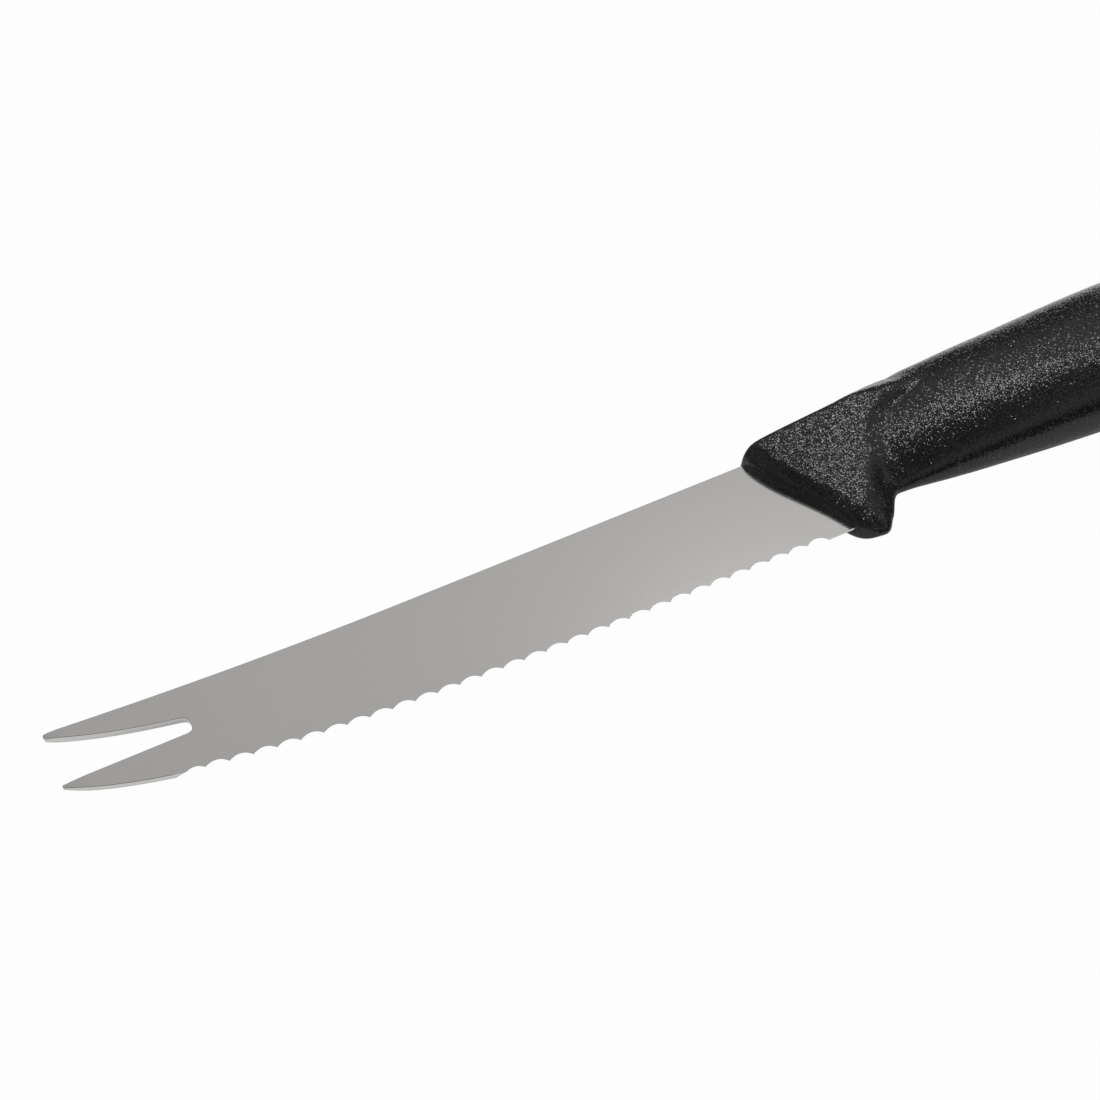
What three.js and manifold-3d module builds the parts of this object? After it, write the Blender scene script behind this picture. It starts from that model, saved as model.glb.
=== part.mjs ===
// Bar knife: a forked, scalloped blade with a one-piece handle moulded on to its tang.
// Millimetres. X runs from the fork's points to the butt, Y from the cutting edge to the spine,
// and Z up out of the blade's plain side, as the knife lies on its side.
import * as THREE from 'three';
import { mergeVertices } from 'three/addons/utils/BufferGeometryUtils.js';
import Module from 'manifold-3d';

const wasm = await Module();
wasm.setup();
const { clamp, degToRad, lerp, smoothstep } = THREE.MathUtils;

// Blade, measured from the middle of the handle's front face
const bladeReach = 107.2; // out to the fork's points
const bladeHeight = 20.4; // spine to cutting edge, at the heel
const stockThickness = 1.3; // the strip that the blade is stamped from
const spineThickness = 1.2; // after the sides are ground
const edgeThickness = 0.75; // before the teeth are ground
const pointThinning = 0.25; // thickness lost from heel to points
const spineRise = 2.35; // the spine sweeps up to the points
const sweepLength = 51; // over this much of its front
const plungeLead = 0.3; // the ground sides start this far before the handle

// Fork
const notchDepth = 17.6; // points to the root of the notch
const notchFloor = 2.4; // lower side of the notch above the blade's middle
const notchWidth = 3.1; // at the root
const notchRound = 1.1; // corner radius at the root
const upperPointWidth = 0.9; // blunt end of the upper prong
const lowerPointWidth = 0.5; // blunt end of the lower prong
const pointRound = 0.4; // corner radius of both ends
const pointGrind = 2.6; // length of the thinned ends
const pointGrindDepth = 0.25; // and how far their sides drop
const upperProngHook = 7.1; // the upper prong's belly bends this far behind the points
const upperProngSag = 3.85; // and this far below its end
const lowerProngHook = 4.2; // the lower prong's belly, likewise
const lowerProngSag = 3.1;

// Cutting edge and teeth
const prongLength = 13; // points to the end of the lower prong's smooth belly
const prongRise = 6.5; // that end above the heel
const bellyLead = 20; // length of the edge's front bend
const bellySag = 5.5; // and how far the edge falls along it
const bellyTrail = 47; // length of its flat rear part
const bellyTrailRise = 0.65; // and how far it rises
const toothPitch = 3.07;
const toothDepth = 0.76;
const toothSkew = 0.3; // the hollows lean towards the handle
const firstTooth = 3.95; // its tip behind the smooth belly
const heelLength = 3.9; // plain edge between the last tooth and the handle
const heelThickness = 0.3; // left on that edge
const toothTrim = 0.12; // taken off the blank along the tips of the teeth
const bevelAngle = 20; // degrees between the ground hollows and the blade

// Tang, hidden in the handle
const tangLength = 74;
const tangHeight = 9;
const tangTaper = 1.5; // height lost to its end
const tangLift = 2.4; // its middle above the blade's middle
const shoulderDepth = 2.6; // the full blade goes this far into the handle
const tangHoleDiameter = 5;
const tangHoleStart = 22; // first locking hole from the handle's front
const tangHoleSpacing = 20;
const tangHoleCount = 3;
const tangClearance = 0.25; // left round the tang

// Handle: its length, and its outline at named places along it
const handleLength = 110;
const frontLean = -0.28; // the front face leans forward at the spine
const frontSwell = 0.35; // and swings in a shallow S about that lean
const leanEnd = 22; // sections stand upright from here on
const lipThickness = 2.4; // thin front edge round the blade
const lipRise = 0.5; // that edge above the spine and below the edge
const frontRound = 4; // length over which the sides round out from it
const noseRound = 4; // and the back
const guardRound = 2; // and the guard
const buttRound = 9; // radius of the butt's edge
const buttFlat = 0.86; // share of that radius that is rounded, the rest is flat
const noseRise = 0.9; // nose above the spine
const browPlace = 4; // top of the collar's front
const browRise = 1.2;
const collarPlace = 14; // back of the collar
const collarRise = 1.4;
const neckRise = 2.9; // back of the neck above the spine
const guardDrop = 1.75; // guard below the heel of the edge, at the front face
const guardPlace = 3; // lowest place of the guard
const guardDepth = 2.4;
const guardEnd = 6.3; // rear of the guard
const guardEndDrop = 0.6;
const fingerPlace = 12.4; // deepest place of the finger hollow behind the guard
const fingerHeight = 3.7; // hollow above the heel of the edge
const gripPlace = 28; // fore grip
const gripBack = 15; // its back above the blade's middle
const gripBelly = 7.65; // its belly below it
const gripWidth = 10.7;
const palmPlace = 40; // where the palm begins
const palmBack = 15.6;
const palmWidth = 13.15;
const swellPlace = 64; // palm swell
const swellBack = 16.25; // back of the swell above the blade's middle
const swellBelly = 9.9; // belly of the swell below it
const swellWidth = 15.15;
const waistPlace = 90; // waist before the butt
const waistBack = 13.4;
const waistBelly = 8.8;
const waistWidth = 13.6;
const buttBack = 9.6; // back of the butt above the blade's middle
const buttBelly = 11.2; // heel of the butt below it
const buttWidth = 14;

// Sides of the handle: those of the collar stand out from those of the neck behind it
const noseWidth = 5.2;
const collarWidth = 8.15;
const collarEnd = 24; // where the collar's sides would run out
const collarEndWidth = 10.6;
const neckPlace = 15; // narrowest place of the neck
const neckWidth = 6.9;
const neckEnd = 21;
const neckEndWidth = 8.6;
const squarePlace = 10; // the collar is square as far as here
const collarSquareness = 13; // section exponents: 2 is an ellipse
const collarEndSquareness = 3.5;
const neckSquareness = 2.1;
const gripSquareness = 2.25;
const neckTopSquareness = 2.7; // likewise for the upper half of the section
const neckEndTopSquareness = 3;
const gripTopSquareness = 2.5;
const collarWedge = 0.26; // how much wider the section is at its back
const neckWedge = 0.26;
const gripWedge = 0.07;

// The collar's rear edge climbs back from the guard to the spine: its places behind the front face
const ridgeFoot = 0.5; // beside the edge
const ridgeLow = 7.1; // half-way up to the blade's middle
const ridgeMiddle = 10.8; // at the blade's middle
const ridgeHigh = 14.3; // half-way up to the spine
const shoulderHeight = 9; // its rearmost place, above the blade's middle
const ridgeShoulder = 17.3;
const ridgeEnd = 11.8; // where it has run out on the back
const footFall = 3.7; // the side drops behind its foot over this much
const ridgeFall = 4.9; // behind its middle
const shoulderFall = 8.5; // behind its shoulder
const endFall = 17.5; // and on the back

const ringPoints = 56; // facets round the handle, an even number
const collarSpacing = 1.3; // between its sections along the collar and the neck
const gripSpacing = 3.2; // and along the grip
const roundSections = 6; // along each rounded end
const pegFacets = 24;
const curveSegments = 10;
const bury = 1; // overlap of solids that are joined

const spineY = bladeHeight / 2;
const edgeY = -bladeHeight / 2;
const pointX = -bladeReach;
const bevel = degToRad(bevelAngle);

const steel = new THREE.MeshStandardMaterial({ color: 0xa3a2a0, roughness: 0.34, metalness: 1 });
const plastic = new THREE.MeshStandardMaterial({ color: 0x1b1b1b, roughness: 0.55, metalness: 0 });

function solidFrom(geometry) {
  const bare = geometry.clone();
  bare.deleteAttribute('normal');
  bare.deleteAttribute('uv');
  const merged = mergeVertices(bare, 1e-5);
  const vertProperties = new Float32Array(merged.attributes.position.array);
  const triVerts = new Uint32Array(merged.index.array);
  return new wasm.Manifold(new wasm.Mesh({ numProp: 3, vertProperties, triVerts }));
}

function meshFrom(name, solid, material) {
  const { vertProperties, triVerts } = solid.getMesh();
  const geometry = new THREE.BufferGeometry();
  geometry.setAttribute('position', new THREE.BufferAttribute(vertProperties, 3));
  geometry.setIndex(new THREE.BufferAttribute(triVerts, 1));
  geometry.computeVertexNormals();
  const mesh = new THREE.Mesh(geometry, material);
  mesh.name = name;
  return mesh;
}

function plate(outline, depth) {
  const settings = { depth, bevelEnabled: false, curveSegments };
  return new THREE.ExtrudeGeometry(outline, settings).translate(0, 0, -depth / 2);
}

// A smooth line through [place, value] points that never overshoots them: cubic pieces whose
// slope at a point is the harmonic mean of its neighbours' slopes, or flat at a turning point.
function lineThrough(points) {
  const rise = points.slice(1).map(([x, y], i) => (y - points[i][1]) / (x - points[i][0]));
  const slopes = points.map((point, i) => {
    const before = rise[i - 1] ?? rise[i];
    const after = rise[i] ?? rise[i - 1];
    return before * after <= 0 ? 0 : (2 * before * after) / (before + after);
  });
  return (x) => {
    const last = points.length - 2;
    const i = Math.min(Math.max(points.findIndex(([place]) => place > x) - 1, 0), last);
    const piece = x >= points[last + 1][0] ? last : i;
    const [x0, y0] = points[piece];
    const [x1, y1] = points[piece + 1];
    const span = x1 - x0;
    const t = clamp((x - x0) / span, 0, 1);
    const blend = t * t * (3 - 2 * t);
    const lead = t * (1 - t) * (1 - t) * slopes[piece];
    const trail = t * t * (t - 1) * slopes[piece + 1];
    return y0 + (y1 - y0) * blend + span * (lead + trail);
  };
}

// Half the thickness of the ground blade: both sides are flat and close in towards the edge
// and towards the points.
function halfThickness(x, y) {
  const towardsSpine = (y - edgeY) / bladeHeight;
  const towardsPoints = -x / bladeReach;
  const thickness = edgeThickness + (spineThickness - edgeThickness) * towardsSpine;
  return (thickness - pointThinning * towardsPoints) / 2;
}

const frontX = (y) => frontLean * y;

const edgeStart = new THREE.Vector2(pointX + prongLength, edgeY + prongRise);
const edgeEnd = new THREE.Vector2(frontX(edgeY) - plungeLead + bury, edgeY);
const edgeCurve = new THREE.CubicBezierCurve(
  edgeStart,
  new THREE.Vector2(edgeStart.x + bellyLead, edgeStart.y - bellySag),
  new THREE.Vector2(edgeEnd.x - bellyTrail, edgeEnd.y + bellyTrailRise),
  edgeEnd,
);

function groundOutline() {
  const upperTop = spineY + spineRise;
  const upperEnd = upperTop - upperPointWidth;
  const lowerEnd = notchFloor - lowerPointWidth;
  const rootX = pointX + notchDepth;
  const notchRoof = notchFloor + notchWidth;
  const roofSlant = notchRound / 4;
  const outline = new THREE.Shape();
  outline.moveTo(frontX(spineY) - plungeLead + bury, spineY);
  outline.lineTo(pointX + sweepLength, spineY);
  outline.quadraticCurveTo(pointX + sweepLength / 2, spineY, pointX + pointRound, upperTop);
  outline.quadraticCurveTo(pointX, upperTop, pointX, upperTop - pointRound);
  outline.quadraticCurveTo(pointX, upperEnd, pointX + pointRound, upperEnd - pointRound / 2);
  outline.quadraticCurveTo(
    pointX + upperProngHook, upperEnd - upperProngSag, rootX - notchRound, notchRoof,
  );
  outline.quadraticCurveTo(rootX, notchRoof - roofSlant, rootX, notchRoof - notchRound);
  outline.lineTo(rootX, notchFloor + notchRound);
  outline.quadraticCurveTo(rootX, notchFloor, rootX - notchRound, notchFloor);
  outline.lineTo(pointX, notchFloor);
  outline.lineTo(pointX, lowerEnd);
  outline.quadraticCurveTo(pointX + lowerProngHook, lowerEnd - lowerProngSag, edgeStart.x, edgeStart.y);
  outline.bezierCurveTo(
    edgeCurve.v1.x, edgeCurve.v1.y, edgeCurve.v2.x, edgeCurve.v2.y, edgeEnd.x, edgeEnd.y,
  );
  return outline;
}

// The ground part of the blade: its outline, with each side laid on its sloping plane.
function groundBlank() {
  const geometry = plate(groundOutline(), 1);
  const position = geometry.attributes.position;
  for (let i = 0; i < position.count; i += 1) {
    const side = Math.sign(position.getZ(i));
    position.setZ(i, side * halfThickness(position.getX(i), position.getY(i)));
  }
  return solidFrom(geometry);
}

// The teeth are hollows ground in one pass from the far side, all along one direction that
// makes the bevel angle with the blade. Seen along it, a point of the plain side is (x, rise).
function alongGrind(x, y) {
  return new THREE.Vector2(x, y * Math.sin(bevel) + halfThickness(x, y) * Math.cos(bevel));
}

function toothGrind() {
  const edgeLength = edgeCurve.getLength();
  const gaps = Math.floor((edgeLength - bury - heelLength - firstTooth) / toothPitch);
  const outside = alongGrind(edgeEnd.x, edgeEnd.y - bladeHeight).y;
  const startThickness = 2 * halfThickness(edgeStart.x, edgeStart.y);
  let last = edgeStart;
  const hollows = new THREE.Shape();
  hollows.moveTo(edgeStart.x, outside);
  const start = alongGrind(edgeStart.x, edgeStart.y).y - startThickness * Math.cos(bevel);
  hollows.lineTo(edgeStart.x, start);
  for (let i = 0; i <= gaps; i += 1) {
    const tip = edgeCurve.getPointAt((firstTooth + i * toothPitch) / edgeLength);
    const middle = last.clone().add(tip).multiplyScalar(0.5);
    const deep = alongGrind(middle.x + toothSkew, middle.y + toothTrim + 2 * toothDepth);
    const ground = alongGrind(tip.x, tip.y + toothTrim);
    hollows.quadraticCurveTo(deep.x, deep.y, ground.x, ground.y);
    last = tip;
  }
  const heel = alongGrind(edgeEnd.x, edgeEnd.y).y - heelThickness * Math.cos(bevel);
  hollows.lineTo(last.x + toothSkew, heel);
  hollows.lineTo(edgeEnd.x + bury, heel);
  hollows.lineTo(edgeEnd.x + bury, outside);
  const settings = { depth: bladeHeight, bevelEnabled: false, curveSegments };
  return new THREE.ExtrudeGeometry(hollows, settings).rotateX(Math.PI / 2 - bevel);
}

// A wedge off one side of both prongs' ends.
function pointWedge(side) {
  const top = halfThickness(pointX, spineY + spineRise);
  const wedge = new THREE.Shape();
  wedge.moveTo(pointX - bury, top + bury);
  wedge.lineTo(pointX, top - pointGrindDepth);
  wedge.lineTo(pointX + pointGrind, top);
  wedge.lineTo(pointX + pointGrind, top + bury);
  const geometry = plate(wedge, 2 * bladeHeight).rotateX(Math.PI / 2);
  return side > 0 ? geometry : geometry.rotateX(Math.PI);
}

// Heel and tang, or the pocket for them when a gap is given.
function tangOutline(gap, lead) {
  const top = spineY + gap;
  const bottom = edgeY - gap;
  const half = tangHeight / 2 + gap;
  const endHalf = half - tangTaper / 2;
  const endX = tangLength + gap;
  const shoulder = shoulderDepth + gap;
  const outline = new THREE.Shape();
  outline.moveTo(frontX(top) - lead, top);
  outline.lineTo(frontX(bottom) - lead, bottom);
  outline.lineTo(frontX(bottom) + shoulder, bottom);
  outline.lineTo(frontX(tangLift - half) + shoulder, tangLift - half);
  outline.lineTo(endX - endHalf, tangLift - endHalf);
  outline.quadraticCurveTo(endX, tangLift - endHalf, endX, tangLift);
  outline.quadraticCurveTo(endX, tangLift + endHalf, endX - endHalf, tangLift + endHalf);
  outline.lineTo(frontX(tangLift + half) + shoulder, tangLift + half);
  outline.lineTo(frontX(top) + shoulder, top);
  return outline;
}

const holePlaces = Array.from(
  { length: tangHoleCount },
  (unused, i) => tangHoleStart + i * tangHoleSpacing,
);

function peg(x, radius, length) {
  const upright = new THREE.CylinderGeometry(radius, radius, length, pegFacets);
  return upright.rotateX(Math.PI / 2).translate(x, tangLift, 0);
}

function makeBlade() {
  let blade = groundBlank().subtract(solidFrom(toothGrind()));
  blade = blade.subtract(solidFrom(pointWedge(1)));
  blade = blade.subtract(solidFrom(pointWedge(-1)));
  blade = blade.add(solidFrom(plate(tangOutline(0, plungeLead), stockThickness)));
  for (const x of holePlaces) {
    blade = blade.subtract(solidFrom(peg(x, tangHoleDiameter / 2, stockThickness + 2 * bury)));
  }
  return meshFrom('blade', blade, steel);
}

const backLine = lineThrough([
  [0, spineY + noseRise],
  [browPlace, spineY + browRise],
  [collarPlace, spineY + collarRise],
  [neckEnd, spineY + neckRise],
  [gripPlace, gripBack],
  [palmPlace, palmBack],
  [swellPlace, swellBack],
  [waistPlace, waistBack],
  [handleLength, buttBack],
]);
const bellyLine = lineThrough([
  [0, edgeY - guardDrop],
  [guardPlace, edgeY - guardDepth],
  [guardEnd, edgeY - guardEndDrop],
  [fingerPlace, edgeY + fingerHeight],
  [gripPlace, -gripBelly],
  [swellPlace, -swellBelly],
  [waistPlace, -waistBelly],
  [handleLength, -buttBelly],
]);
const collarWidthLine = lineThrough([
  [0, noseWidth],
  [collarPlace, collarWidth],
  [collarEnd, collarEndWidth],
]);
const gripWidthLine = lineThrough([
  [neckPlace, neckWidth],
  [neckEnd, neckEndWidth],
  [gripPlace, gripWidth],
  [palmPlace, palmWidth],
  [swellPlace, swellWidth],
  [waistPlace, waistWidth],
  [handleLength, buttWidth],
]);
const collarSquareLine = lineThrough([
  [squarePlace, collarSquareness],
  [collarEnd, collarEndSquareness],
]);
const gripSquareLine = lineThrough([
  [collarPlace, neckSquareness],
  [palmPlace, gripSquareness],
]);
const gripTopSquareLine = lineThrough([
  [collarPlace, neckTopSquareness],
  [neckEnd, neckEndTopSquareness],
  [gripPlace, gripTopSquareness],
  [palmPlace, gripSquareness],
]);
const gripWedgeLine = lineThrough([
  [fingerPlace, neckWedge],
  [neckEnd, gripWedge],
]);

// The ridge and the fall behind it, along the height of the blade
const ridgeLine = lineThrough([
  [edgeY, ridgeFoot],
  [edgeY / 2, ridgeLow],
  [0, ridgeMiddle],
  [spineY / 2, ridgeHigh],
  [shoulderHeight, ridgeShoulder],
  [spineY + collarRise, ridgeEnd],
]);
const ridgeFallLine = lineThrough([
  [edgeY, footFall],
  [0, ridgeFall],
  [spineY / 2, ridgeFall],
  [shoulderHeight, shoulderFall],
  [spineY + collarRise, endFall],
]);

const faceX = (y) => frontX(y) - frontSwell * Math.sin((2 * Math.PI * y) / bladeHeight);

// Half the width of a section at a height between -1 and 1, for a section that is 2 wide: a
// superellipse that widens towards the back.
function bulge(height, wedge, squareness) {
  return (1 + wedge * height) * (1 - Math.abs(height) ** squareness) ** (1 / squareness);
}

// Share of its full size that the handle has reached this far behind its rounded front edge.
function grown(along, roundLength) {
  const missing = Math.max(1 - along / roundLength, 0);
  return Math.sqrt(1 - missing * missing);
}

// How far the surface is drawn in at the rounded butt.
function buttInset(along) {
  const reached = Math.max(1 - (handleLength - along) / buttRound, 0) * buttFlat;
  return buttRound * (1 - Math.sqrt(1 - reached * reached));
}

// One section of the handle. The collar and the grip have sides of their own, and the surface
// goes over from the one to the other behind the ridge.
function handleRing(along) {
  const inset = buttInset(along);
  const sides = grown(along, frontRound);
  const back = lerp(spineY + lipRise, backLine(along), grown(along, noseRound)) - inset;
  const belly = lerp(edgeY - lipRise, bellyLine(along), grown(along, guardRound)) + inset;
  const collarHalf = lerp(lipThickness, collarWidthLine(along), sides) / 2;
  const gripHalf = (gripWidthLine(along) - inset) / 2;
  const middle = (back + belly) / 2;
  const reach = (back - belly) / 2;
  const leaning = 1 - smoothstep(along, 0, leanEnd);
  return Array.from({ length: ringPoints }, (unused, i) => {
    const angle = (i / ringPoints) * 2 * Math.PI;
    const height = Math.cos(angle);
    const y = middle + reach * height;
    const x = along + leaning * faceX(y);
    const passed = smoothstep(x - ridgeLine(y), 0, ridgeFallLine(y));
    const gripSquare = height > 0 ? gripTopSquareLine(along) : gripSquareLine(along);
    const collar = collarHalf * bulge(height, collarWedge * sides, collarSquareLine(along));
    const grip = gripHalf * bulge(height, gripWedgeLine(along), gripSquare);
    return new THREE.Vector3(x, y, Math.sign(Math.sin(angle)) * lerp(collar, grip, passed));
  });
}

function evenPlaces(start, end, spacing) {
  const count = Math.ceil((end - start) / spacing);
  return Array.from({ length: count }, (unused, i) => start + ((end - start) * i) / count);
}

function ringPlaces() {
  const gripEnd = handleLength - buttRound;
  const turns = evenPlaces(0, Math.PI / 2, Math.PI / 2 / roundSections);
  return [
    ...turns.map((turn) => frontRound * (1 - Math.cos(turn))),
    ...evenPlaces(frontRound, gripPlace, collarSpacing),
    ...evenPlaces(gripPlace, gripEnd, gripSpacing),
    ...turns.map((turn) => gripEnd + buttRound * Math.sin(turn)),
    handleLength,
  ];
}

// Skin over a row of rings, closed at each end by strips across from side to side.
function loft(rings) {
  const count = rings[0].length;
  const corners = rings.flat();
  const faces = [];
  for (let ring = 0; ring < rings.length - 1; ring += 1) {
    for (let i = 0; i < count; i += 1) {
      const a = ring * count + i;
      const b = ring * count + ((i + 1) % count);
      faces.push(a, b, a + count, b, b + count, a + count);
    }
  }
  const last = (rings.length - 1) * count;
  for (let i = 1; i < count / 2; i += 1) {
    const across = count - i;
    faces.push(i - 1, across, i, i, across, across - 1);
    faces.push(last + i - 1, last + i, last + across, last + i, last + across - 1, last + across);
  }
  const geometry = new THREE.BufferGeometry().setFromPoints(corners);
  geometry.setIndex(faces);
  return geometry;
}

function makeHandle() {
  const pocketDepth = stockThickness + 2 * tangClearance;
  const pocket = plate(tangOutline(tangClearance, 2 * frontRound), pocketDepth);
  let handle = solidFrom(loft(ringPlaces().map(handleRing)));
  handle = handle.subtract(solidFrom(pocket));
  for (const x of holePlaces) {
    const radius = tangHoleDiameter / 2 - tangClearance;
    handle = handle.add(solidFrom(peg(x, radius, pocketDepth + 2 * bury)));
  }
  return meshFrom('handle', handle, plastic);
}

const knife = new THREE.Group();
knife.add(makeBlade(), makeHandle());

// The origin is under the middle of the knife, on the surface that it lies on.
const extent = new THREE.Box3().setFromObject(knife);
const middle = extent.getCenter(new THREE.Vector3());
knife.position.set(-middle.x, -middle.y, -extent.min.z);

export default knife;
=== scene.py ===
# Bar knife: a satin forked blade and a grained one-piece handle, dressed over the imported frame
import math

import bmesh
import bpy
import numpy as np
from mathutils import Matrix, Quaternion, Vector


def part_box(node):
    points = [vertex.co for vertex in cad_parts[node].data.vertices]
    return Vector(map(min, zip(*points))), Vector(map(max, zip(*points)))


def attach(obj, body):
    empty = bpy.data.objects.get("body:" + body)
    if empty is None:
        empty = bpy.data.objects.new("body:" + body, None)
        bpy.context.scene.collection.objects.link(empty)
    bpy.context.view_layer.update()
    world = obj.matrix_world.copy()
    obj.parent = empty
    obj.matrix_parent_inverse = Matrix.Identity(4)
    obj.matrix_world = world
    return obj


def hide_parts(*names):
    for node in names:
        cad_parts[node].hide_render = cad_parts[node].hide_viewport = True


mm = 0.001  # the knife's own sizes below are in millimetres
tiny = 1e-9  # least length to divide by


# Camera, where the photograph was taken from
cameraSpec = dict(
    place=(-0.10872, -0.17172, 0.16915),  # metres
    aim=(-0.03669, 0.00615, 0.00892),
    roll=-7.37,  # degrees
    lens=58.91,  # mm, on the sensor below
    sensor=36.0,
    nearest=0.01,  # metres, what is closer isn't drawn
)


def makeCamera(spec):
    camera = bpy.data.objects.new("camera", bpy.data.cameras.new("camera"))
    camera.data.lens = spec["lens"]
    camera.data.sensor_width = spec["sensor"]
    camera.data.clip_start = spec["nearest"]
    looking = (Vector(spec["aim"]) - Vector(spec["place"])).to_track_quat("-Z", "Y")
    camera.rotation_mode = "QUATERNION"
    camera.rotation_quaternion = looking @ Quaternion((0, 0, 1), math.radians(spec["roll"]))
    camera.location = spec["place"]
    bpy.context.scene.collection.objects.link(camera)
    bpy.context.scene.camera = camera


makeCamera(cameraSpec)
print("camera set")

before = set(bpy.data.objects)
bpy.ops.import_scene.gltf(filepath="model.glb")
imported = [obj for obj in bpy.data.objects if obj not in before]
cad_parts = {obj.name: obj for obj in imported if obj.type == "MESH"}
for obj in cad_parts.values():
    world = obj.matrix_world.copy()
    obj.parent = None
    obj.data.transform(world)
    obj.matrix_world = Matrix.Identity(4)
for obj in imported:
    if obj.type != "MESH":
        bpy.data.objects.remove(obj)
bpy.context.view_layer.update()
print("frame loaded:", sorted(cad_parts))


# Shared shapes

def lineThrough(*points):
    # cubic pieces through (place, value) points; each slope is the harmonic mean of its neighbours'
    places, values = np.array(points, float).T
    rise = np.diff(values) / np.diff(places)
    before = np.concatenate([rise[:1], rise])
    after = np.concatenate([rise, rise[-1:]])
    steady = before * after > 0
    slopes = np.where(steady, 2 * before * after / np.where(steady, before + after, 1), 0)

    def valueAt(place):
        piece = np.clip(np.searchsorted(places, place, side="right") - 1, 0, len(rise) - 1)
        span = places[piece + 1] - places[piece]
        t = np.clip((place - places[piece]) / span, 0, 1)
        lead = t * (1 - t) ** 2 * slopes[piece]
        trail = t ** 2 * (t - 1) * slopes[piece + 1]
        climb = values[piece + 1] - values[piece]
        return values[piece] + climb * t * t * (3 - 2 * t) + span * (lead + trail)

    return valueAt


def bend(count, *corners):
    # Bezier curve: Bernstein sum over its corners at count even steps, its end left to the next one
    corners = np.array(corners, float)
    t = np.arange(count)[:, None] / count
    order = len(corners) - 1
    shares = [math.comb(order, i) * t ** i * (1 - t) ** (order - i) for i in range(order + 1)]
    return sum(share * corner for share, corner in zip(shares, corners))


def smoothStep(value, low, high):
    t = np.clip((value - low) / (high - low), 0, 1)
    return t * t * (3 - 2 * t)


def ringQuads(rows, columns):
    # quads between neighbouring rows of a grid whose rows close on themselves
    index = np.arange(rows * columns).reshape(rows, columns)
    here, below = index[:-1], index[1:]
    corners = [here, np.roll(here, -1, axis=1), np.roll(below, -1, axis=1), below]
    return np.stack(corners, axis=-1).reshape(-1, 4)


def addPiece(name, points, faces):
    mesh = bpy.data.meshes.new(name)
    mesh.from_pydata(points.reshape(-1, 3).tolist(), [], faces)
    piece = bpy.data.objects.new(name, mesh)
    bpy.context.scene.collection.objects.link(piece)
    return piece


def finishPiece(piece, spec, place, material, node):
    # from millimetres to its place in metres, then its shading, its finish and what it stands for
    piece.data.transform(Matrix.Translation(place) @ Matrix.Diagonal((mm, mm, mm, 1)))
    piece.data.set_sharp_from_angle(angle=math.radians(spec["sharpAngle"]))
    facing = np.empty(len(piece.data.polygons) * 3)
    piece.data.polygons.foreach_get("normal", facing)
    piece.data.polygons.foreach_set("use_smooth", np.abs(facing[2::3]) < spec["smoothBelow"])
    piece.data.materials.append(material)
    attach(piece, "root")
    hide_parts(node)


# Blade: measured from the middle of the handle's front face, X to the butt and Y to the spine
bladeSpec = dict(
    reach=107.2,
    height=20.4,
    spineThickness=1.2,
    edgeThickness=0.75,
    pointThinning=0.25,  # thickness lost from heel to points
    spineRise=2.35,  # the spine sweeps up to the points
    sweepLength=51,
    notchDepth=17.6,
    notchFloor=2.4,
    notchWidth=3.1,
    notchRound=1.1,
    notchSlant=0.275,  # taken off its upper corner
    upperPointWidth=0.9,
    lowerPointWidth=0.5,
    pointRound=0.4,
    pointSlant=0.2,  # under the upper point
    upperProngHook=7.1,
    upperProngSag=3.85,
    lowerProngHook=4.2,
    lowerProngSag=3.1,
    upperGrind=2.2,  # length of the thinned prong ends
    lowerGrind=3.4,
    grindDepth=0.2,
    grindPower=1.5,
    grindStrips=8,
    prongLength=13,
    prongRise=6.5,
    bellyLead=20,
    bellySag=5.5,
    bellyTrail=47,
    bellyTrailRise=0.65,
    toothPitch=3.07,
    toothDepth=0.76,
    toothSkew=0.3,
    toothTrim=0.12,
    firstTooth=3.95,
    heelLength=3.9,
    heelThickness=0.3,
    bevelAngle=20,
    tangLength=74,
    tangHeight=9,
    tangTaper=1.5,
    tangLift=2.4,
    shoulderDepth=2.6,
    buried=0.7,  # the cutting edge runs on into the handle
    frontLean=-0.28,  # of the handle's front and of the shoulders inside it
    softArris=0.09,  # rounded long edges of the stamped blank
    keenArris=0.012,  # and of the ground teeth
    toothLand=0.03,  # flat left along the cutting edge
    samplesPerTooth=14,
    edgeSamples=2000,
    arrisSteps=4,
    sharpAngle=25,  # degrees between faces, past which they meet in a sharp edge
    smoothBelow=0.98,  # Z of a face's normal, past which the face is shaded flat
)


def halfThickness(spec, x, y):
    # both sides are flat and close in towards the edge and towards the points
    towardsSpine = (y + spec["height"] / 2) / spec["height"]
    thickness = spec["edgeThickness"] + (spec["spineThickness"] - spec["edgeThickness"]) * towardsSpine
    return (thickness + spec["pointThinning"] * x / spec["reach"]) / 2


def edgeCorners(spec):
    # Bezier corners of the cutting edge: a bend off the lower prong, then a nearly straight run
    low = -spec["height"] / 2
    start = np.array([-spec["reach"] + spec["prongLength"], low + spec["prongRise"]])
    end = np.array([spec["frontLean"] * low + spec["buried"], low])
    lead = start + [spec["bellyLead"], -spec["bellySag"]]
    trail = end + [-spec["bellyTrail"], spec["bellyTrailRise"]]
    return start, lead, trail, end


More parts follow.
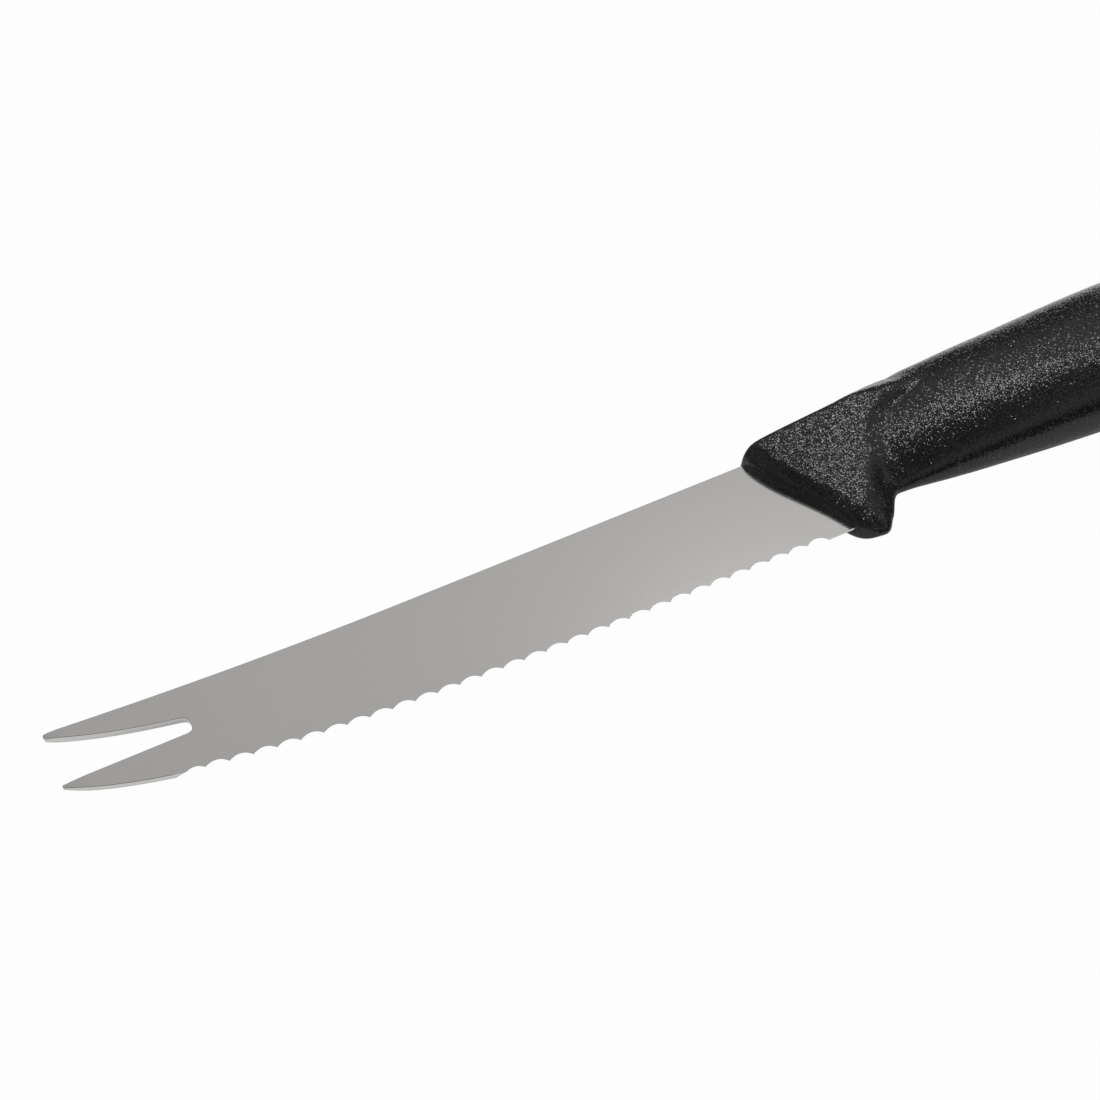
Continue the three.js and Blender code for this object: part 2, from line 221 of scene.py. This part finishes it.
def toothedEdge(spec):
    # Hollows between tips that stand a pitch apart along the edge curve: each is a parabola from
    # tip to tip, ground at the bevel angle from the far side. Gives x, y on the plain side, how far
    # y rises towards the far side, and how deep below the plain side the bevel starts.
    start, lead, trail, end = edgeCorners(spec)
    curve = np.vstack([bend(spec["edgeSamples"], start, lead, trail, end), end])
    walked = np.concatenate([[0], np.cumsum(np.linalg.norm(np.diff(curve, axis=0), axis=1))])
    room = walked[-1] - spec["buried"] - spec["heelLength"] - spec["firstTooth"]
    tipWalk = spec["firstTooth"] + spec["toothPitch"] * np.arange(int(room / spec["toothPitch"]) + 1)
    tips = np.stack([np.interp(tipWalk, walked, curve[:, axis]) for axis in (0, 1)], 1)
    cot = 1 / math.tan(math.radians(spec["bevelAngle"]))
    ground = tips + [0, spec["toothTrim"]]
    first = start - [0, 2 * halfThickness(spec, *start) * cot]
    before = np.vstack([first, ground[:-1]])
    deep = (np.vstack([start, tips[:-1]]) + tips) / 2
    deep = deep + [spec["toothSkew"], spec["toothTrim"] + 2 * spec["toothDepth"]]
    t = (np.arange(spec["samplesPerTooth"]) / spec["samplesPerTooth"])[None, :, None]
    hollows = (1 - t) ** 2 * before[:, None] + 2 * t * (1 - t) * deep[:, None] + t ** 2 * ground[:, None]
    heelY = end[1] - spec["heelThickness"] * cot
    heel = np.array([ground[-1], [ground[-1, 0] + spec["toothSkew"], heelY], [end[0], heelY]])
    x, cut = np.vstack([hollows.reshape(-1, 2), heel]).T
    plain = np.interp(x, curve[:, 0], curve[:, 1])
    thickness = 2 * halfThickness(spec, x, plain)
    y = np.maximum(plain, cut)
    far = np.maximum(plain, cut + thickness * cot)
    drop = np.clip((plain - cut) / cot, spec["toothLand"], thickness - spec["toothLand"])
    return np.stack([x, y], 1), far - y, drop


def bladeOutline(spec):
    # once round the blade on its plain side: along the spine to the points, back along the teeth
    # and round the tang, as Bezier curves, each with its own count of steps
    top = spec["height"] / 2
    point = -spec["reach"]
    upperTop = top + spec["spineRise"]
    upperEnd = upperTop - spec["upperPointWidth"]
    lowerEnd = spec["notchFloor"] - spec["lowerPointWidth"]
    root = point + spec["notchDepth"]
    floor = spec["notchFloor"]
    roof = floor + spec["notchWidth"]
    corner, slant = spec["notchRound"], spec["notchSlant"]
    blunt = point + spec["pointRound"]
    tip = upperTop - spec["pointRound"]
    heel = upperEnd - spec["pointSlant"]
    sweep = point + spec["sweepLength"]
    sweepMiddle = point + spec["sweepLength"] / 2
    upperHook = (point + spec["upperProngHook"], upperEnd - spec["upperProngSag"])
    lowerHook = (point + spec["lowerProngHook"], lowerEnd - spec["lowerProngSag"])

    def shoulder(y):
        return spec["frontLean"] * y + spec["shoulderDepth"], y

    plainEdge = np.vstack([
        bend(30, shoulder(top), (sweep, top)),
        bend(60, (sweep, top), (sweepMiddle, top), (blunt, upperTop)),
        bend(6, (blunt, upperTop), (point, upperTop), (point, tip)),
        bend(6, (point, tip), (point, upperEnd), (blunt, heel)),
        bend(50, (blunt, heel), upperHook, (root - corner, roof)),
        bend(10, (root - corner, roof), (root, roof - slant), (root, roof - corner)),
        bend(4, (root, roof - corner), (root, floor + corner)),
        bend(10, (root, floor + corner), (root, floor), (root - corner, floor)),
        bend(40, (root - corner, floor), (point, floor)),
        bend(4, (point, floor), (point, lowerEnd)),
        bend(50, (point, lowerEnd), lowerHook, edgeCorners(spec)[0]),
    ])
    teeth, far, drop = toothedEdge(spec)
    lift, half = spec["tangLift"], spec["tangHeight"] / 2
    endHalf = half - spec["tangTaper"] / 2
    end = spec["tangLength"]
    tang = np.vstack([
        [shoulder(-top), shoulder(lift - half)],
        bend(8, (end - endHalf, lift - endHalf), (end, lift - endHalf), (end, lift)),
        bend(8, (end, lift), (end, lift + endHalf), (end - endHalf, lift + endHalf)),
        [(end - endHalf, lift + endHalf), shoulder(lift + half)],
    ])
    outline = np.vstack([plainEdge, teeth, tang])
    toothed = slice(len(plainEdge), len(plainEdge) + len(teeth))
    rise = np.zeros(len(outline))
    rise[toothed] = far
    depth = halfThickness(spec, *outline.T)
    depth[toothed] = drop
    arris = np.full(len(outline), spec["softArris"])
    arris[toothed] = spec["keenArris"]
    return outline, rise, depth, arris


def bladeSkin(spec):
    # an edge profile carried along the outline: quarter-round arris on the plain side, the wall or
    # the bevel of the teeth, quarter-round arris on the far side
    outline, rise, depth, arris = bladeOutline(spec)
    ahead = np.roll(outline, -1, axis=0) - outline
    ahead = ahead / np.linalg.norm(ahead, axis=1, keepdims=True)
    tangent = ahead + np.roll(ahead, 1, axis=0)
    inward = np.stack([-tangent[:, 1], tangent[:, 0]], 1)
    inward = inward / np.maximum(np.linalg.norm(inward, axis=1, keepdims=True), tiny)
    turns = np.radians(np.linspace(90, 0, spec["arrisSteps"]))

    def arrisRows(path, side):
        flat = path[None] + ((1 - np.cos(turns))[:, None] * arris[None])[..., None] * inward[None]
        height = halfThickness(spec, flat[..., 0], flat[..., 1])
        height = height - arris[None] * (1 - np.sin(turns))[:, None]
        return np.concatenate([flat, side * height[..., None]], axis=-1)

    wall = np.column_stack([outline, halfThickness(spec, *outline.T) - depth])[None]
    farOutline = outline + np.column_stack([np.zeros(len(rise)), rise])
    return np.concatenate([arrisRows(outline, 1), wall, arrisRows(farOutline, -1)[::-1]])


def grindPoints(mesh, spec):
    # both sides of the prong ends close in by grindDepth * (1 - way back / length) ^ grindPower
    point = -spec["reach"]
    split = spec["notchFloor"] + spec["notchWidth"] / 2
    shaped = bmesh.new()
    shaped.from_mesh(mesh)
    for share in np.linspace(0, 1, spec["grindStrips"] + 1)[1:]:
        bmesh.ops.bisect_plane(
            shaped,
            geom=shaped.verts[:] + shaped.edges[:] + shaped.faces[:],
            plane_co=(point + share * spec["lowerGrind"], 0, 0),
            plane_no=(1, 0, 0),
        )
    shaped.to_mesh(mesh)
    shaped.free()
    corners = np.empty(len(mesh.vertices) * 3)
    mesh.vertices.foreach_get("co", corners)
    x, y, z = corners.reshape(-1, 3).T
    length = np.where(y > split, spec["upperGrind"], spec["lowerGrind"])
    left = np.clip(1 - (x - point) / length, 0, 1)
    z = z * (1 - spec["grindDepth"] * left ** spec["grindPower"] / halfThickness(spec, x, y))
    mesh.vertices.foreach_set("co", np.column_stack([x, y, z]).ravel())
    mesh.update()


def makeBlade(spec):
    skin = bladeSkin(spec)
    rows, columns = skin.shape[:2]
    faces = ringQuads(rows, columns)[:, ::-1].tolist()
    faces.append(list(range(columns)))  # plain side
    faces.append(list(range((rows - 1) * columns, rows * columns))[::-1])  # far side
    blade = addPiece("blade_satin", skin, faces)
    grindPoints(blade.data, spec)
    return blade


# Handle: lines along it are (place, value) points, places measured from the middle of its front face
handleSpec = dict(
    length=110,
    back=(
        (0, 10.8), (4, 10.95), (14, 11.1), (20, 13.2), (28, 15.2), (40, 15.6),
        (64, 16.25), (90, 13.4), (110, 9.6),
    ),
    belly=(
        (0, -12.2), (3, -13.1), (6.4, -10.9), (12.2, -6.6), (28, -7.8),
        (64, -10.05), (90, -8.8), (110, -11.2),
    ),
    collarWidth=((0, 5.2), (14, 8.15), (24, 10.6)),
    gripWidth=((15, 6.9), (21, 8.6), (28, 10.7), (40, 13.05), (64, 15), (90, 13.6), (110, 14)),
    collarSquare=((0, 3.2), (4, 34), (12, 20), (24, 3.2)),  # exponents of the sections
    gripSquare=((14, 2.1), (40, 2.25)),
    gripTopSquare=((14, 2.3), (24, 2.4), (44, 2.2)),  # and of their upper halves
    collarWedge=0.26,  # sections are wider towards the back
    gripWedge=((12, 0.31), (22, 0.06), (40, 0.08)),
    ridge=(  # place of the ridge behind the collar, along y
        (-9.5, 1.6), (-7.5, 4.9), (-4.4, 7.7), (-0.4, 10.6), (3, 12.2),
        (5.4, 14.6), (7, 16.2), (9, 18), (12, 10.2),
    ),
    ridgeFall=((-8, 4), (-3, 4.5), (2, 5.1), (5.4, 5.3), (8, 10), (12, 22)),  # and the way it falls
    frontLean=bladeSpec["frontLean"],
    frontSwell=0.35,  # of the front line against a straight one
    leanEnd=22,  # from here on the sections stand square
    lipThickness=3.2,  # blunt front edge round the blade
    lipRise=0.3,  # above the spine and below the edge
    frontRound=2.5,  # lengths over which sides, back and guard round out from the lip
    noseRound=4,
    guardRound=2,
    buttRound=9,
    buttFlat=0.86,  # sine of the angle at which the round meets the flat end
    slotGap=0.02,  # round the blade, where it enters
    tangGap=0.2,
    collarEnd=28,  # up to here the rings stand closer together
    ringPoints=216,
    frontRings=24,
    collarRings=120,
    gripRings=140,
    buttRings=14,
    sharpAngle=40,
    smoothBelow=2,  # so no face is shaded flat
)


def handlePlaces(spec):
    # rings close together round the front edge and the butt, closer along the collar than along the grip
    front = np.radians(np.linspace(90, 0, spec["frontRings"], endpoint=False))
    butt = np.linspace(0, math.asin(spec["buttFlat"]), spec["buttRings"])
    collarEnd, gripEnd = spec["collarEnd"], spec["length"] - spec["buttRound"]
    return np.concatenate([
        spec["frontRound"] * (1 - np.sin(front)),
        np.linspace(spec["frontRound"], collarEnd, spec["collarRings"], endpoint=False),
        np.linspace(collarEnd, gripEnd, spec["gripRings"], endpoint=False),
        gripEnd + spec["buttRound"] * np.sin(butt) / spec["buttFlat"],
    ])


def frontFace(spec, y, bladeHeight):
    # x of the front at height y: a leaning line less one sine wave over the blade's height
    return spec["frontLean"] * y - spec["frontSwell"] * np.sin(2 * math.pi * y / bladeHeight)


def handleSides(spec, bladeHeight):
    # A section at place u reaches y = middle + reach * h, h = cos(angle), and stands out by a
    # superellipse half * (1 + wedge * h) * (1 - |h|^n)^(1/n), a squarish one for the collar and a round
    # one for the grip. The first gives way to the second behind a ridge that runs x = ridge(y).
    place = handlePlaces(spec)[:, None]
    angle = np.arange(spec["ringPoints"])[None] / spec["ringPoints"] * 2 * math.pi
    fromButt = np.clip(1 - (spec["length"] - place) / spec["buttRound"], 0, 1) * spec["buttFlat"]
    buttInset = spec["buttRound"] * (1 - np.sqrt(1 - fromButt ** 2))

    def along(name):
        return lineThrough(*spec[name])(place)

    def grown(start, full, roundLength):
        missing = np.clip(1 - place / roundLength, 0, 1)
        return start + (full - start) * np.sqrt(1 - missing ** 2)

    lip = bladeHeight / 2 + spec["lipRise"]
    back = grown(lip, along("back"), spec["noseRound"]) - buttInset
    belly = grown(-lip, along("belly"), spec["guardRound"]) + buttInset
    height = np.cos(angle)
    y = (back + belly) / 2 + (back - belly) / 2 * height
    x = place + frontFace(spec, y, bladeHeight) * (1 - smoothStep(place, 0, spec["leanEnd"]))
    ridge, ridgeFall = lineThrough(*spec["ridge"])(y), lineThrough(*spec["ridgeFall"])(y)
    passed = smoothStep((x - ridge) / ridgeFall, 0, 1)

    def bulge(half, wedge, square):
        return half * (1 + wedge * height) * (1 - np.abs(height) ** square) ** (1 / square)

    collarHalf = grown(spec["lipThickness"], along("collarWidth"), spec["frontRound"]) / 2
    collarWedge = grown(0, spec["collarWedge"], spec["frontRound"])
    collar = bulge(collarHalf, collarWedge, along("collarSquare"))
    gripHalf = (along("gripWidth") - buttInset) / 2
    gripSquare = np.where(height > 0, along("gripTopSquare"), along("gripSquare"))
    grip = bulge(gripHalf, along("gripWedge"), gripSquare)
    z = np.sign(np.sin(angle)) * (collar + (grip - collar) * passed)
    return np.stack([x, y, z], axis=-1)


def handlePocket(spec, blade):
    # rectangular rings from the tang's end out to the slot in the front face
    angle = np.arange(spec["ringPoints"]) / spec["ringPoints"] * 2 * math.pi
    reach = np.maximum(np.abs(np.cos(angle)), np.abs(np.sin(angle)))
    height, bulge = np.cos(angle) / reach, np.sin(angle) / reach
    tangHalf = blade["tangHeight"] / 2 + spec["tangGap"]
    slotHalf = blade["height"] / 2 + spec["slotGap"]
    shoulder = blade["shoulderDepth"] + spec["tangGap"]
    rings = [
        (blade["tangLength"] + spec["tangGap"], 0, blade["tangLift"], tangHalf, spec["tangGap"]),
        (shoulder, 1, blade["tangLift"], tangHalf, spec["tangGap"]),
        (shoulder, 1, 0, slotHalf, spec["slotGap"]),
        (0, 1, 0, slotHalf, spec["slotGap"]),
    ]
    place, lean, middle, half, gap = np.array(rings, float).T[:, :, None]
    y = middle + half * height
    x = place + lean * frontFace(spec, y, blade["height"])
    return np.stack([x, y, bulge * (halfThickness(blade, x, y) + gap)], axis=-1)


def makeHandle(spec, blade):
    skin = np.concatenate([handlePocket(spec, blade), handleSides(spec, blade["height"])])
    rows, columns = skin.shape[:2]
    faces = ringQuads(rows, columns).tolist()
    faces.append(list(range(columns))[::-1])  # end of the pocket
    faces.append(list(range((rows - 1) * columns, rows * columns)))  # butt
    return addPiece("handle_grained", skin, faces)


# Nodes

def addNode(tree, kind, operation=None, values=None):
    node = tree.nodes.new("ShaderNode" + kind)
    if operation:
        node.operation = operation
    for socket, value in (values or {}).items():
        node.inputs[socket].default_value = value
    return node


def addRange(tree, start, end, interpolation="LINEAR"):
    # Map Range from the two numbers of start to those of end
    node = addNode(tree, "MapRange")
    node.interpolation_type = interpolation
    for name, value in zip(("From Min", "From Max", "To Min", "To Max"), (*start, *end)):
        node.inputs[name].default_value = value
    return node


def joinNodes(tree, *pairs):
    for source, target in pairs:
        tree.links.new(source, target)


# Finishes
grainSpec = dict(
    mixer=(17, 31, 23),  # makes one chance of a facet's three random numbers
    strayPower=3,  # a higher power leaves fewer strays
    evenLean=0.5,  # lean of every facet
    strayLean=2.5,  # and what the wildest stray has more
    patchDetail=3,
    patchRange=(0.3, 0.7),  # patches between these take the roughness from its low to its high value
)


def makeGrainGroup(spec):
    # Grain of small facets on Object coordinates, which Turn turns and Scale stretches: each facet
    # has a random colour and leans by Tilt * (evenLean + strayLean * stray) * (colour - 0.5), where
    # stray is fract(colour . mixer) ^ strayPower, so a few lean far. Fleck is stray, the mask of the
    # painted glints that the finishes lighten in colour; Patches a slow unevenness from 0 to 1.
    group = bpy.data.node_groups.new("surfaceGrain", "ShaderNodeTree")
    sockets = (
        ("Scale", "INPUT", "Vector"),
        ("Turn", "INPUT", "Vector"),
        ("Tilt", "INPUT", "Float"),
        ("Patch Scale", "INPUT", "Float"),
        ("Normal", "OUTPUT", "Vector"),
        ("Fleck", "OUTPUT", "Float"),
        ("Patches", "OUTPUT", "Float"),
    )
    for name, way, kind in sockets:
        group.interface.new_socket(name=name, in_out=way, socket_type="NodeSocket" + kind)
    given = group.nodes.new("NodeGroupInput")
    result = group.nodes.new("NodeGroupOutput")
    place = addNode(group, "TexCoord")
    turn = addNode(group, "VectorRotate")
    turn.rotation_type = "EULER_XYZ"
    stretch = addNode(group, "VectorMath", "MULTIPLY")
    facets = addNode(group, "TexVoronoi", values={"Scale": 1})
    centre = addNode(group, "VectorMath", "SUBTRACT", {1: (0.5, 0.5, 0.5)})
    mixed = addNode(group, "VectorMath", "DOT_PRODUCT", {1: spec["mixer"]})
    chance = addNode(group, "Math", "FRACT")
    stray = addNode(group, "Math", "POWER", {1: spec["strayPower"]})
    reach = addNode(group, "Math", "MULTIPLY_ADD", {1: spec["strayLean"], 2: spec["evenLean"]})
    tilt = addNode(group, "Math", "MULTIPLY")
    lean = addNode(group, "VectorMath", "SCALE")
    surface = addNode(group, "NewGeometry")
    leaned = addNode(group, "VectorMath", "ADD")
    unit = addNode(group, "VectorMath", "NORMALIZE")
    patches = addNode(group, "TexNoise", values={"Detail": spec["patchDetail"]})
    joinNodes(
        group,
        (place.outputs["Object"], turn.inputs["Vector"]),
        (given.outputs["Turn"], turn.inputs["Rotation"]),
        (turn.outputs["Vector"], stretch.inputs[0]),
        (given.outputs["Scale"], stretch.inputs[1]),
        (stretch.outputs["Vector"], facets.inputs["Vector"]),
        (facets.outputs["Color"], centre.inputs[0]),
        (centre.outputs["Vector"], lean.inputs[0]),
        (facets.outputs["Color"], mixed.inputs[0]),
        (mixed.outputs["Value"], chance.inputs[0]),
        (chance.outputs["Value"], stray.inputs[0]),
        (stray.outputs["Value"], reach.inputs[0]),
        (given.outputs["Tilt"], tilt.inputs[0]),
        (reach.outputs["Value"], tilt.inputs[1]),
        (tilt.outputs["Value"], lean.inputs["Scale"]),
        (surface.outputs["Normal"], leaned.inputs[0]),
        (lean.outputs["Vector"], leaned.inputs[1]),
        (leaned.outputs["Vector"], unit.inputs[0]),
        (place.outputs["Object"], patches.inputs["Vector"]),
        (given.outputs["Patch Scale"], patches.inputs["Scale"]),
        (unit.outputs["Vector"], result.inputs["Normal"]),
        (stray.outputs["Value"], result.inputs["Fleck"]),
        (patches.outputs["Fac"], result.inputs["Patches"]),
    )
    return group


surfaceGrain = makeGrainGroup(grainSpec)


def makeFinish(name, spec):
    # a Principled surface: facets lean its normal, flecks lighten its colour as painted glints, and
    # patches change its roughness through a Map Range
    material = bpy.data.materials.new(name)
    material.use_nodes = True
    tree = material.node_tree
    shader = tree.nodes["Principled BSDF"]
    shader.inputs["Metallic"].default_value = spec["metallic"]
    shader.inputs["IOR"].default_value = spec["ior"]
    grain = addNode(tree, "Group")
    grain.node_tree = surfaceGrain
    grain.inputs["Scale"].default_value = spec["grainScale"]
    grain.inputs["Turn"].default_value = [math.radians(angle) for angle in spec["grainTurn"]]
    grain.inputs["Tilt"].default_value = spec["grainTilt"]
    grain.inputs["Patch Scale"].default_value = spec["patchScale"]
    rough = addRange(tree, grainSpec["patchRange"], spec["roughness"])
    # painted glints: the stray facets get the lighter fleck colour
    glintTint = addNode(tree, "Mix")
    glintTint.data_type = "RGBA"
    glintTint.inputs["A"].default_value = (*spec["colour"], 1)
    glintTint.inputs["B"].default_value = (*spec["glintFleckColour"], 1)
    joinNodes(
        tree,
        (grain.outputs["Fleck"], glintTint.inputs["Factor"]),
        (glintTint.outputs["Result"], shader.inputs["Base Color"]),
        (grain.outputs["Patches"], rough.inputs["Value"]),
        (rough.outputs["Result"], shader.inputs["Roughness"]),
        (grain.outputs["Normal"], shader.inputs["Normal"]),
    )
    return material


steelFinish = dict(
    colour=(0.62, 0.61, 0.595),
    # a hair lighter on the stray facets: faint painted glints
    glintFleckColour=(0.63, 0.62, 0.605),
    metallic=1,
    ior=2.5,
    roughness=(0.15, 0.17),
    grainScale=(150, 9000, 9000),  # facets per metre: fine ground lines
    grainTurn=(0, 0, -20),
    grainTilt=0.004,
    patchScale=40,
)

plasticFinish = dict(
    colour=(0.0095, 0.0095, 0.0097),
    # much lighter on the stray facets: painted glints of the grain
    glintFleckColour=(0.045, 0.045, 0.0455),
    metallic=0,
    ior=1.4,
    roughness=(0.085, 0.1),
    grainScale=(7600, 7600, 7600),  # facets per metre: spark-eroded grain
    grainTurn=(0, 0, 0),
    grainTilt=0.28,
    patchScale=60,
)


# Pieces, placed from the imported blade's box
bladeLow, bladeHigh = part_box("blade")
knifePlace = Vector((
    bladeLow.x + bladeSpec["reach"] * mm,
    bladeHigh.y - (bladeSpec["height"] / 2 + bladeSpec["spineRise"]) * mm,
    (bladeLow.z + bladeHigh.z) / 2,
))
blade = makeBlade(bladeSpec)
steel = makeFinish("blade_steel", steelFinish)
finishPiece(blade, bladeSpec, knifePlace, steel, "blade")
print("blade made:", len(blade.data.vertices), "points")
handle = makeHandle(handleSpec, bladeSpec)
plastic = makeFinish("handle_plastic", plasticFinish)
finishPiece(handle, handleSpec, knifePlace, plastic, "handle")
print("handle made:", len(handle.data.vertices), "points")


# Stage: pale floor, a narrow strip lamp above and behind the handle, a grey room
stageSpec = dict(
    floorSize=8.0,  # metres
    floorColour=(0.9, 0.9, 0.9),
    floorWhite=0.98,  # share of the floor that shows plain white, the rest takes the shadow
    floorMirrored=0.8,  # the same share where the knife mirrors the floor
    floorShade=0.02,  # metres over which that falls off under the knife
    shadeSamples=4,
    lampPlace=(0.327, 0.334, 0.68),
    lampTurn=-63,  # degrees, seen from above
    lampSize=(0.36, 0.06),
    lampPower=0.81,  # watts
    roomPoints=0.28,  # brightness on the side of the blade's points
    roomButt=0.835,  # and of the handle's butt
    roomLow=0.12,  # share of it that is left near the floor
    roomLowPoints=0.75,  # and near the floor on the points' side
    roomTop=0.25,  # and overhead
    lowFade=(0.46, 0.64),  # height, of 1 straight up, over which the room brightens from the floor
    topFade=(0.72, 0.9),  # and over which it dims overhead
    pointsSide=(-0.5, -0.1),  # X of the points' side and of where it ends
)


def makeFloor(spec):
    # white to the camera and in mirrors, there less so close under the knife, and plain paper, which
    # takes the shadow, to all other light
    side = spec["floorSize"] / 2
    corners = np.array([(-side, -side, 0), (side, -side, 0), (side, side, 0), (-side, side, 0)])
    floor = addPiece("floor", corners, [[0, 1, 2, 3]])
    material = bpy.data.materials.new("floor")
    material.use_nodes = True
    tree = material.node_tree
    tree.nodes.remove(tree.nodes["Principled BSDF"])
    paper = addNode(tree, "BsdfDiffuse", values={"Color": (*spec["floorColour"], 1)})
    white = addNode(tree, "Emission")
    rays = addNode(tree, "LightPath")
    passing = addNode(tree, "Math", "MAXIMUM")
    mirrored = addNode(tree, "Math", "MULTIPLY")
    tone = (*[spec["floorMirrored"]] * 3, 1)
    shade = addNode(tree, "AmbientOcclusion", values={"Color": tone, "Distance": spec["floorShade"]})
    shade.samples = spec["shadeSamples"]
    share = addNode(tree, "Math", "MULTIPLY_ADD", {1: spec["floorWhite"]})
    mix = addNode(tree, "MixShader")
    joinNodes(
        tree,
        (rays.outputs["Is Glossy Ray"], passing.inputs[0]),
        (rays.outputs["Is Transmission Ray"], passing.inputs[1]),
        (passing.outputs["Value"], mirrored.inputs[0]),
        (shade.outputs["Color"], mirrored.inputs[1]),
        (rays.outputs["Is Camera Ray"], share.inputs[0]),
        (mirrored.outputs["Value"], share.inputs[2]),
        (share.outputs["Value"], mix.inputs["Fac"]),
        (paper.outputs["BSDF"], mix.inputs[1]),
        (white.outputs["Emission"], mix.inputs[2]),
        (mix.outputs["Shader"], tree.nodes["Material Output"].inputs["Surface"]),
    )
    floor.data.materials.append(material)


def makeLamp(spec):
    lamp = bpy.data.lights.new("softbox", "AREA")
    lamp.shape = "RECTANGLE"
    lamp.size, lamp.size_y = spec["lampSize"]
    lamp.energy = spec["lampPower"]
    softbox = bpy.data.objects.new("softbox", lamp)
    softbox.location = spec["lampPlace"]
    softbox.rotation_euler = (0, 0, math.radians(spec["lampTurn"]))
    bpy.context.scene.collection.objects.link(softbox)


def makeRoom(spec):
    # grey that grows from the points' side to the butt's, times a fade towards the floor, which is
    # weaker on the points' side, times a fade overhead
    world = bpy.data.worlds.new("room")
    world.use_nodes = True
    tree = world.node_tree
    place = addNode(tree, "TexCoord")
    parts = addNode(tree, "SeparateXYZ")
    grey = addRange(tree, (-1, 1), (spec["roomPoints"], spec["roomButt"]))  # over the whole of X
    low = addRange(tree, spec["pointsSide"], (spec["roomLowPoints"], spec["roomLow"]))
    fade = addRange(tree, spec["lowFade"], (0, 1), "SMOOTHSTEP")
    over = addRange(tree, spec["topFade"], (1, spec["roomTop"]), "SMOOTHSTEP")
    ring = addNode(tree, "Math", "MULTIPLY")
    whole = addNode(tree, "Math", "MULTIPLY")
    joinNodes(
        tree,
        (place.outputs["Generated"], parts.inputs["Vector"]),
        (parts.outputs["X"], grey.inputs["Value"]),
        (parts.outputs["X"], low.inputs["Value"]),
        (low.outputs["Result"], fade.inputs["To Min"]),
        (parts.outputs["Z"], fade.inputs["Value"]),
        (parts.outputs["Z"], over.inputs["Value"]),
        (fade.outputs["Result"], ring.inputs[0]),
        (over.outputs["Result"], ring.inputs[1]),
        (grey.outputs["Result"], whole.inputs[0]),
        (ring.outputs["Value"], whole.inputs[1]),
        (whole.outputs["Value"], tree.nodes["Background"].inputs["Color"]),
    )
    bpy.context.scene.world = world


makeFloor(stageSpec)
makeLamp(stageSpec)
makeRoom(stageSpec)
bpy.context.scene.view_settings.view_transform = "Standard"
print("stage set")
